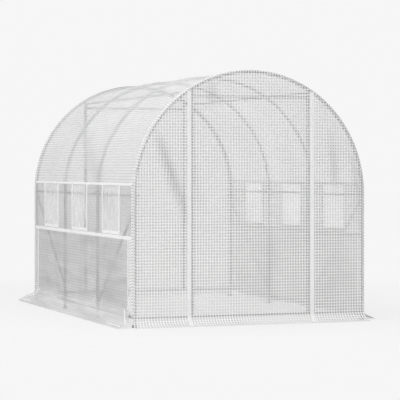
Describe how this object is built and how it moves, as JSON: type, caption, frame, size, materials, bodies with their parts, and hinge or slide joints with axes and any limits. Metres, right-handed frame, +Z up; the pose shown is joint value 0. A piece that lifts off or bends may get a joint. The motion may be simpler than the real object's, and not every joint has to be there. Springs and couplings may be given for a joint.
{
  "type": "polytunnel greenhouse",
  "caption": "Walk-in polytunnel greenhouse: hooped steel tube frame, translucent grid-reinforced cover with flared skirts, zipped front door and mesh side windows.",
  "frame": {"origin": "centre of the bounding box on the ground", "axes": "X across the tunnel, -Y to the front wall with the door, +Y to the rear wall, +Z up"},
  "size_m": [2.25, 3.196, 2.0016],
  "materials": {
    "galvanised_tube": "dull galvanised steel tube",
    "black_plastic": "black moulded plastic",
    "cover_sheet": "translucent polyethylene sheet with a white reinforcing grid",
    "window_mesh": "fine pale insect mesh",
    "white_tape": "white woven edging tape",
    "zip_tape": "white zip tape"
  },
  "bodies": {
    "root": {"front_base_rail": "galvanised_tube", "front_door": "cover_sheet", "front_door_header": "galvanised_tube", "front_door_posts": "galvanised_tube", "front_hoop_arch": "galvanised_tube", "front_hoop_legs": "galvanised_tube", "front_rim": "white_tape", "front_wall_left": "cover_sheet", "front_wall_right": "cover_sheet", "front_zips": "zip_tape", "left_apron": "cover_sheet", "left_base_rail": "galvanised_tube", "left_braces": "galvanised_tube", "left_corner_strips": "cover_sheet", "left_feet": "black_plastic", "left_shoulder_purlin": "galvanised_tube", "left_side_purlin": "galvanised_tube", "left_tapes": "white_tape", "left_window_band": "cover_sheet", "left_windows": "window_mesh", "rear_base_rail": "galvanised_tube", "rear_door_header": "galvanised_tube", "rear_door_posts": "galvanised_tube", "rear_hoop_arch": "galvanised_tube", "rear_hoop_legs": "galvanised_tube", "rear_rim": "white_tape", "rear_wall": "cover_sheet", "right_apron": "cover_sheet", "right_base_rail": "galvanised_tube", "right_braces": "galvanised_tube", "right_corner_strips": "cover_sheet", "right_feet": "black_plastic", "right_shoulder_purlin": "galvanised_tube", "right_side_purlin": "galvanised_tube", "right_tapes": "white_tape", "right_window_band": "cover_sheet", "right_windows": "window_mesh", "roof_cover": "cover_sheet", "second_hoop_arch": "galvanised_tube", "second_hoop_legs": "galvanised_tube", "third_hoop_arch": "galvanised_tube", "third_hoop_legs": "galvanised_tube"}
  },
  "joints": []
}
